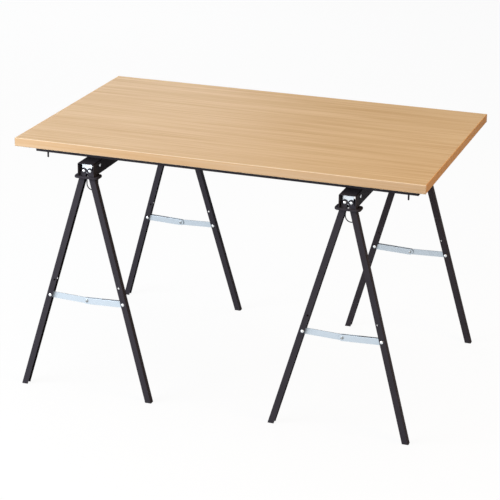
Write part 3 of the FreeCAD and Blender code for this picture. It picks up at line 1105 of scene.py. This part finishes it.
@dataclass
class Head:
    """The end of a beam: pivot bracket, collar plate, wire loop and the rivets that hold them."""

    palette: Palette
    rivet: Rivet
    beam_inside: float = 0.0225
    beam_wall: float = 0.002
    tab_face: float = 0.00945
    tab_depth: float = 0.028
    tab_corner: float = 0.005
    tab_facets: int = 6
    tab_rivet_back: float = 0.016
    tab_rivet_rise: float = 0.013
    tongue_face: float = -0.00755
    tongue_half: float = 0.01475
    tongue_corner: float = 0.003
    roof_top: float = 0.021
    bracket_fall: float = 0.007
    bracket_sheet: float = 0.0023
    bracket_bend: float = 0.0042
    leg_front: float = 0.00935
    collar_corner: float = 0.012
    collar_facets: int = 8
    collar_edge: float = 0.0016
    collar_edge_facets: int = 3
    window_width: float = 0.04996
    window_depth: float = 0.02047
    wire: float = 0.0015
    wire_facets: int = 16
    wire_edge: float = 0.0002
    loop_length: float = 0.067
    loop_bend: float = 0.003
    loop_step: float = math.radians(7.5)
    hook_gap: float = 0.0001
    side_gap: float = 0.0002

    def __post_init__(self) -> None:
        """Model the pieces that repeat at each end."""
        self.bracket = self.model_bracket()
        self.loop = self.model_loop()
        self.pivot = self.rivet.model("pivot", 2 * self.leg_front)
        self.fixing = self.rivet.model("fixing", self.bracket_sheet + self.beam_wall)

    def tab_rivet(self) -> Vector:
        """Give the line of the side rivets in the head's frame, at its middle."""
        return Vector((0, self.tab_face + self.tab_rivet_back, self.tab_rivet_rise))

    def model_bracket(self) -> Piece:
        """Fold the bracket in the head's frame: a roof with a tab at each side and a tongue in front.

        Returns:
            The bracket, with no holes.
        """
        back = self.tab_face + self.tab_depth
        bracket = add_block(
            "bracket",
            Vector((-self.beam_inside, self.tab_face, -self.bracket_fall)),
            Vector((self.beam_inside, back, self.roof_top)),
        )
        open_sides(bracket, BACK, -BACK, -UP)
        for side in (-1, 1):
            with editing(bracket, Element.FACE, every):
                bpy.ops.mesh.bisect(plane_co=(side * self.tongue_half, 0, 0), plane_no=RIGHT)
        with editing(
            bracket,
            Element.EDGE,
            lambda edge: runs_along(edge, RIGHT)
            and abs(middle(edge).x) < TINY
            and middle(edge).y < self.tab_face + TINY,
        ):
            for step in (
                (0, self.tongue_face - self.tab_face, 0),
                (0, 0, -self.bracket_fall - self.roof_top),
            ):
                bpy.ops.mesh.extrude_edges_move(TRANSFORM_OT_translate={"value": step})
        fold_sheet(bracket, self.bracket_bend, self.bracket_sheet)
        low = TINY - self.bracket_fall
        round_edges(
            bracket,
            self.tab_corner,
            lambda edge: runs_along(edge, RIGHT) and middle(edge).y > back - TINY and middle(edge).z < low,
            self.tab_facets,
        )
        round_edges(
            bracket,
            self.tongue_corner,
            lambda edge: runs_along(edge, BACK) and middle(edge).y < 0 and middle(edge).z < low,
        )
        return bracket

    def model_loop(self) -> Piece:
        """Bend the wire loop about its hooks' axis: a long U with its ends turned out.

        Returns:
            The loop.
        """
        hook = self.beam_inside - self.bracket_sheet - self.side_gap
        half = hook - self.loop_bend
        bottom = -(self.loop_length - self.wire - half)
        run = -self.loop_bend - bottom
        bpy.ops.object.select_all(action="DESELECT")
        bpy.ops.mesh.primitive_circle_add(
            vertices=self.wire_facets,
            radius=self.wire,
            fill_type="NGON",
            location=(hook + self.bracket_sheet, 0, 0),
            rotation=(0, math.pi / 2, 0),
        )
        loop = bpy.context.object
        loop.name = "loop"
        bpy.ops.object.transform_apply()
        bends = (
            ((-self.bracket_sheet, 0, 0), (hook, 0, -self.loop_bend), math.pi / 2),
            ((0, 0, -run), (0, 0, bottom), -math.pi),
            ((0, 0, run), (-hook, 0, -self.loop_bend), math.pi / 2),
        )
        with editing(loop, Element.FACE, every):
            for straight, centre, turn in bends:
                bpy.ops.mesh.extrude_region_move(TRANSFORM_OT_translate={"value": straight})
                steps = round(abs(turn) / self.loop_step)
                bpy.ops.mesh.spin(steps=steps, angle=turn, center=centre, axis=BACK)
            bpy.ops.mesh.extrude_region_move(TRANSFORM_OT_translate={"value": (-self.bracket_sheet, 0, 0)})
            bpy.ops.mesh.select_all(action="SELECT")
            bpy.ops.mesh.normals_make_consistent(inside=False)
        soften(loop, self.wire_edge)
        return loop

    def place(self, pair: Pair) -> None:
        """Put a head's bracket, collar and wire loop in place.

        Args:
            pair: The pair of legs that turns in this head.
        """
        self.place_bracket(pair)
        self.place_collar(pair)
        node = f"{pair.name}_wire_loop"
        loop = copied(self.loop, f"{node}_bent", Matrix.Translation(pair.hooks()))
        hand_over(loop, node, self.palette.wire, node)

    def place_bracket(self, pair: Pair) -> None:
        """Put a bracket in place and drill it for its rivets and the loop's hooks.

        Args:
            pair: The pair of legs that turns in it.
        """
        node = f"{pair.name}_pivot_bracket"
        place = pair.head()
        bracket = copied(self.bracket, f"{node}_folded", place)
        side = RIGHT * 2 * self.beam_inside
        hooks = pair.hooks()
        tab = place @ self.tab_rivet()
        drills = [
            add_rod("drill", self.rivet.hole, tab - side, tab + side),
            add_rod("drill", self.wire + self.hook_gap, hooks - side, hooks + side),
        ]
        half = pair.pivot_half()
        for x in (-half, half):
            ends = [place @ Vector((x, y, 0)) for y in (-self.leg_front, self.leg_front)]
            drills.append(add_rod("drill", self.rivet.hole, *ends))
        carve(bracket, drills)
        soften(bracket)
        hand_over(bracket, f"{pair.trestle}_trestle", self.palette.zinc, node)

    def place_collar(self, pair: Pair) -> None:
        """Cut a collar plate with round ears and a window for the legs.

        Args:
            pair: The pair of legs that goes through it.
        """
        node = f"{pair.name}_collar"
        low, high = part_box(node)
        collar = add_block(f"{node}_cut", low, high)
        round_edges(collar, self.collar_corner, lambda edge: runs_along(edge, UP), self.collar_facets)
        head = pair.head()
        height = ((low + high) / 2).z
        upwards = head.col[2].to_3d()
        centre = head.translation + upwards * ((height - head.translation.z) / upwards.z)
        half = Vector((self.window_width / 2, self.window_depth / 2, high.z - low.z))
        window = add_block("window", centre - half, centre + half)
        round_edges(
            window, self.collar_edge, lambda edge: runs_along(edge, UP), self.collar_edge_facets
        )
        carve(collar, [window])
        soften(collar, self.collar_edge, self.collar_edge_facets)
        hand_over(collar, f"{pair.trestle}_trestle", self.palette.black, node)

    def place_rivets(self, trestle: str, pairs: list[Pair]) -> None:
        """Set the pivot rivets and the side rivets of both heads of a trestle.

        Args:
            trestle: The trestle's name.
            pairs: Its two pairs of legs.
        """
        pivots = []
        fixings = []
        for pair in pairs:
            place = pair.head()
            half = pair.pivot_half()
            for side in (-1, 1):
                start = Matrix.Translation((side * half, -self.leg_front, 0))
                pivots.append(place @ start @ TO_BACK)
                inner = self.tab_rivet() + RIGHT * side * (self.beam_inside - self.bracket_sheet)
                to_side = Matrix.Translation(inner) @ Matrix.Rotation(side * math.pi / 2, 4, "Y")
                fixings.append(place @ to_side)
        for name, model, places in (
            ("pivot_rivets", self.pivot, pivots),
            ("bracket_rivets", self.fixing, fixings),
        ):
            node = f"{trestle}_{name}"
            rivets = set_copies(model, f"{node}_domed", places)
            hand_over(rivets, f"{trestle}_trestle", self.palette.rivet, node)

    def clear(self) -> None:
        """Remove the models."""
        discard(self.bracket, self.loop, self.pivot, self.fixing)


@dataclass
class Beam:
    """A trestle's beam: a folded channel with its open side down."""

    palette: Palette
    head: Head
    bend: float = 0.0028

    def build(self, trestle: str, pairs: list[Pair]) -> None:
        """Fold a beam and drill it for the brackets' rivets.

        Args:
            trestle: The trestle's name.
            pairs: Its two pairs of legs.
        """
        node = f"{trestle}_beam"
        low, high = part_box(node)
        beam = add_block(f"{node}_folded", low, high)
        open_sides(beam, -UP, BACK, -BACK)
        fold_sheet(beam, self.bend, self.head.beam_wall)
        side = RIGHT * (high.x - low.x)
        hole = self.head.rivet.hole
        rivets = [pair.head() @ self.head.tab_rivet() for pair in pairs]
        carve(beam, [add_rod("drill", hole, place - side, place + side) for place in rivets])
        soften(beam)
        hand_over(beam, f"{trestle}_trestle", self.palette.black, node)


@dataclass
class Leg:
    """A leg: a folded channel with a round top, slots in its web, a spare hole and a level foot.

    A slot is given by how far its middle lies below the pivot, and its length.
    """

    palette: Palette
    rivet: Rivet
    reach: float = 0.72
    width: float = 0.018
    depth: float = 0.0185
    sheet: float = 0.0015
    bend: float = 0.0024
    stay_drop: float = 0.398
    stay_inset: float = 0.0025
    spare_rise: float = 0.050
    spare_radius: float = 0.003
    slot_width: float = 0.008
    long_slot: tuple[float, float] = (0.103, 0.020)
    short_slot: tuple[float, float] = (0.137, 0.012)

    def __post_init__(self) -> None:
        """Model the leg and its stay rivet once."""
        self.model = self.model_leg()
        self.stay_rivet = self.rivet.model("stay_rivet", self.depth)

    def model_leg(self) -> Piece:
        """Fold a leg in its own frame, a little longer than it needs to be.

        Returns:
            The leg, with its holes and slots.
        """
        half = Vector((self.width / 2, self.depth / 2, 0))
        leg = add_block("leg", -half - UP * self.reach, half + UP * self.width)
        open_sides(leg, -RIGHT, UP, -UP)
        fold_sheet(leg, self.bend, self.sheet)
        carve(leg, [self.model_outline()], "INTERSECT")
        across = BACK * self.depth
        stay = Vector((-self.stay_inset, 0, -self.stay_drop))
        holes = (
            (self.rivet.hole, Vector((0, 0, 0))),
            (self.rivet.hole, stay),
            (self.spare_radius, stay + UP * self.spare_rise),
        )
        tools = [add_rod("drill", radius, place - across, place + across) for radius, place in holes]
        for drop, length in (self.long_slot, self.short_slot):
            corner = Vector((2 * self.sheet, self.slot_width / 2, length / 2))
            place = Vector((self.width / 2, 0, -drop))
            tools.append(add_obround("slot", place - corner, place + corner, RIGHT))
        carve(leg, tools)
        return leg

    def model_outline(self) -> Piece:
        """Make the leg's side outline as a solid: a bar with a half round top about the pivot.

        Returns:
            The outline.
        """
        across = BACK * self.depth
        outline = add_rod("outline", self.width / 2, -across, across)
        cut_below(outline)
        with editing(outline, Element.FACE, lambda face: looks(face, -UP)):
            bpy.ops.mesh.extrude_region_move(TRANSFORM_OT_translate={"value": (0, 0, -2 * self.reach)})
        return outline

    def place(self, pair: Pair) -> None:
        """Put a pair's two legs in place with their stay rivets, and cut their feet level.

        Args:
            pair: Where they stand.
        """
        start = Matrix.Translation((-self.stay_inset, -self.depth / 2, -self.stay_drop))
        for side in pair.sides:
            node = f"{pair.name}_{side}_leg"
            place = pair.leg(side)
            leg = copied(self.model, f"{node}_folded", place)
            cut_below(leg)
            soften(leg)
            hand_over(leg, node, self.palette.black, node)
            rivet_node = f"{pair.name}_{side}_stay_rivet"
            rivet = copied(self.stay_rivet, f"{rivet_node}_domed", place @ start @ TO_BACK)
            hand_over(rivet, node, self.palette.rivet, rivet_node)

    def clear(self) -> None:
        """Remove the models."""
        discard(self.model, self.stay_rivet)


@dataclass
class Stay:
    """The stay between two legs: a channel link, a flat link between its cheeks and a middle rivet."""

    palette: Palette
    rivet: Rivet
    length: float
    dip: float = 0.0042
    height: float = 0.019
    width: float = 0.009
    sheet: float = 0.0012
    bend: float = 0.002
    notch: float = 0.046
    flat_height: float = 0.018
    flat: float = 0.0025
    flat_edge: float = 0.0004
    side_gap: float = 0.0002

    def __post_init__(self) -> None:
        """Model the links and half of the middle rivet once."""
        self.channel = self.model_channel()
        self.flat_bar = self.model_flat()
        self.inner = self.flat / 2 + self.side_gap
        self.rivet_end = self.rivet.model("rivet_end", self.width / 2 - self.inner, heads=1)

    def drills(self) -> list[Piece]:
        """Make drills for a link's two rivet holes.

        Returns:
            The drills.
        """
        across = BACK * self.width
        places = (Vector((0, 0, 0)), RIGHT * self.length)
        return [add_rod("drill", self.rivet.hole, place - across, place + across) for place in places]

    def model_channel(self) -> Piece:
        """Fold the channel link: web on top, round-ended cheeks, the web cut back at its inner end.

        Returns:
            The link, from its leg to the stay's middle along +X.
        """
        end = self.height / 2
        low = Vector((-end, -self.width / 2, -end))
        high = Vector((self.length + end, self.width / 2, end))
        link = add_block("channel_link", low, high)
        open_sides(link, -UP, RIGHT, -RIGHT)
        fold_sheet(link, self.bend, self.sheet)
        outline = add_obround("outline", low, high, BACK)
        # Twice as wide as the link, so that it cuts both cheeks right through.
        outline.data.transform(Matrix.Scale(2, 4, BACK))
        carve(link, [outline], "INTERSECT")
        inside = self.width / 2 - self.sheet
        notch = add_block(
            "notch",
            Vector((self.length - self.notch, -inside, 0)),
            Vector((self.length + self.height, inside, self.height)),
        )
        carve(link, [notch, *self.drills()])
        soften(link)
        return link

    def model_flat(self) -> Piece:
        """Cut the flat link: a round-ended bar.

        Returns:
            The link, from its leg to the stay's middle along +X.
        """
        end = self.flat_height / 2
        link = add_obround(
            "flat_link",
            Vector((-end, -self.flat / 2, -end)),
            Vector((self.length + end, self.flat / 2, end)),
            BACK,
        )
        carve(link, self.drills())
        soften(link, self.flat_edge)
        return link

    def place(self, pair: Pair) -> None:
        """Put a pair's stay in place.

        Args:
            pair: The legs that it joins.
        """
        channel, flat, _ = pair.links(self.dip)
        for kind, model, place in (("channel", self.channel, channel), ("flat", self.flat_bar, flat)):
            node = f"{pair.name}_{kind}_link"
            hand_over(copied(model, f"{node}_pressed", place), node, self.palette.stay, node)
        ends = []
        for side in (-1, 1):
            start = Matrix.Translation((self.length, side * self.inner, 0))
            outwards = Matrix.Rotation(-side * math.pi / 2, 4, "X")
            ends.append(channel @ start @ outwards)
        node = f"{pair.name}_centre_rivet"
        rivet = set_copies(self.rivet_end, f"{node}_domed", ends)
        hand_over(rivet, f"{pair.name}_channel_link", self.palette.tubular, node)
        repaint(f"{node}_core", self.palette.tubular)

    def clear(self) -> None:
        """Remove the models."""
        discard(self.channel, self.flat_bar, self.rivet_end)


# Studio


@dataclass(frozen=True)
class Lamp:
    """A square soft lamp: where it hangs, how large and how strong it is, and its tint."""

    name: str
    place: tuple[float, float, float]
    size: float
    power: float
    tint: str = "#FFFFFF"


@dataclass
class Studio:
    """A pale floor, soft lamps and a camera at the photograph's angle.

    The camera is a fit to the table's corners, feet and rivets in the photograph, in pixels of its frame,
    degrees and metres. floor_lift is the share of the floor that glows where it is seen: it looks white,
    and the table's shadow stays.
    """

    frame_pixels: float = 500
    focal_pixels: float = 1841.7
    sensor: float = 36
    azimuth: float = 18.957
    elevation: float = 19.947
    roll: float = 0.823
    distance: float = 5.5139
    aim: tuple[float, float, float] = (0, 0, 0.35)
    slide: tuple[float, float] = (-0.0165, 0.0123)
    floor_size: float = 60
    floor_seen: str = "#FFFFFF"
    floor_bounce: str = "#5C5C5C"
    floor_roughness: float = 0.9
    floor_lift: float = 0.93
    ambient: float = 0.2
    lamps: tuple[Lamp, ...] = (
        Lamp("key", place=(-2.6, -2.2, 1.7), size=1.8, power=94, tint="#F1F7FF"),
        Lamp("front", place=(-2.1, -4.4, 1.8), size=2.0, power=92),
        Lamp("right", place=(2.6, -1.0, 2.2), size=1.4, power=35, tint="#FFD6A6"),
        Lamp("rim", place=(-2.9, 4.6, 2.4), size=2.8, power=52, tint="#F4F8FF"),
        Lamp("overhead", place=(-0.1, 0.7, 3.8), size=2.6, power=32),
    )

    def build(self) -> None:
        """Build the floor, the lamps, the world and the camera."""
        self.build_floor()
        for lamp in self.lamps:
            self.hang(lamp)
        self.build_world()
        self.build_camera()
        bpy.context.scene.view_settings.view_transform = "Standard"

    def seen_rays(self, tree: Tree) -> Socket:
        """Tell the rays that show the background, to the camera or by gloss or glass, from the rest.

        Args:
            tree: The node tree of the floor or the world.

        Returns:
            A socket that is 1 for those rays, and 0 for others.
        """
        rays = add_node(tree, "ShaderNodeLightPath")
        seen = rays.outputs["Is Camera Ray"]
        for name in ("Is Glossy Ray", "Is Transmission Ray"):
            seen = add_node(
                tree, "ShaderNodeMath", {0: seen, 1: rays.outputs[name]}, operation="MAXIMUM"
            ).outputs["Value"]
        return seen

    def build_floor(self) -> None:
        """Lay a pale floor that looks white and keeps the table's shadow."""
        bpy.ops.object.select_all(action="DESELECT")
        bpy.ops.mesh.primitive_plane_add(size=self.floor_size)
        floor = bpy.context.object
        floor.name = "studio_floor"
        material, tree, shader = new_material("studio_floor")
        seen = self.seen_rays(tree)
        colour = add_node(
            tree,
            "ShaderNodeMix",
            {
                Mix.FACTOR: seen,
                Mix.FIRST_COLOUR: linear(self.floor_bounce),
                Mix.SECOND_COLOUR: linear(self.floor_seen),
            },
            data_type="RGBA",
        )
        tree.links.new(colour.outputs[Mix.COLOUR], shader.inputs["Base Color"])
        shader.inputs["Roughness"].default_value = self.floor_roughness
        shader.inputs["Specular IOR Level"].default_value = 0.0
        white = add_node(tree, "ShaderNodeEmission", {"Color": WHITE, "Strength": 1.0})
        share = add_node(tree, "ShaderNodeMath", {0: seen, 1: self.floor_lift}, operation="MULTIPLY")
        mixed = add_node(
            tree,
            "ShaderNodeMixShader",
            {0: share.outputs["Value"], 1: shader.outputs["BSDF"], 2: white.outputs["Emission"]},
        )
        tree.links.new(mixed.outputs["Shader"], tree.nodes["Material Output"].inputs["Surface"])
        floor.data.materials.append(material)

    def hang(self, lamp: Lamp) -> None:
        """Hang a lamp that faces the table.

        Args:
            lamp: The lamp.
        """
        light = bpy.data.lights.new(lamp.name, "AREA")
        light.energy = lamp.power
        light.size = lamp.size
        light.color = linear(lamp.tint)[:3]
        holder = bpy.data.objects.new(lamp.name, light)
        holder.location = lamp.place
        holder.rotation_euler = (Vector(self.aim) - holder.location).to_track_quat("-Z", "Y").to_euler()
        bpy.context.scene.collection.objects.link(holder)

    def build_world(self) -> None:
        """Surround the table with white where it is seen, and with soft light elsewhere."""
        world = bpy.data.worlds.new("studio")
        bpy.context.scene.world = world
        world.use_nodes = True
        tree = world.node_tree
        strength = add_node(
            tree,
            "ShaderNodeMapRange",
            {"Value": self.seen_rays(tree), "To Min": self.ambient, "To Max": 1.0},
        )
        background = tree.nodes["Background"]
        background.inputs["Color"].default_value = WHITE
        tree.links.new(strength.outputs["Result"], background.inputs["Strength"])

    def build_camera(self) -> None:
        """Set the camera where the photograph was taken from."""
        data = bpy.data.cameras.new("photograph")
        data.sensor_fit = "HORIZONTAL"
        data.sensor_width = self.sensor
        data.lens = self.sensor * self.focal_pixels / self.frame_pixels
        camera = bpy.data.objects.new("photograph", data)
        bpy.context.scene.collection.objects.link(camera)
        turn = (
            Matrix.Rotation(math.radians(self.azimuth), 4, "Z")
            @ Matrix.Rotation(math.radians(90 - self.elevation), 4, "X")
            @ Matrix.Rotation(math.radians(self.roll), 4, "Z")
        )
        back = Matrix.Translation((*self.slide, self.distance))
        camera.matrix_world = Matrix.Translation(self.aim) @ turn @ back
        bpy.context.scene.camera = camera


def main() -> None:
    """Build the studio and the table, piece by piece."""
    logging.basicConfig(level=logging.INFO, format="%(name)s: %(message)s")
    Studio().build()
    palette = Palette()
    rivet = Rivet()
    tubular = Rivet(pit=0.0014, pit_radius=0.0025)
    Tabletop(palette).build()
    trestles = {name: [Pair(name, end) for end in End] for name in ("left", "right")}
    stay_length = trestles["left"][0].links(Stay.dip)[2]
    head = Head(palette, rivet)
    beam = Beam(palette, head)
    leg = Leg(palette, rivet)
    stay = Stay(palette, tubular, stay_length)
    for name, pairs in trestles.items():
        beam.build(name, pairs)
        head.place_rivets(name, pairs)
        for pair in pairs:
            head.place(pair)
            leg.place(pair)
            stay.place(pair)
    for maker in (head, leg, stay):
        maker.clear()


if __name__ == "__main__":
    main()
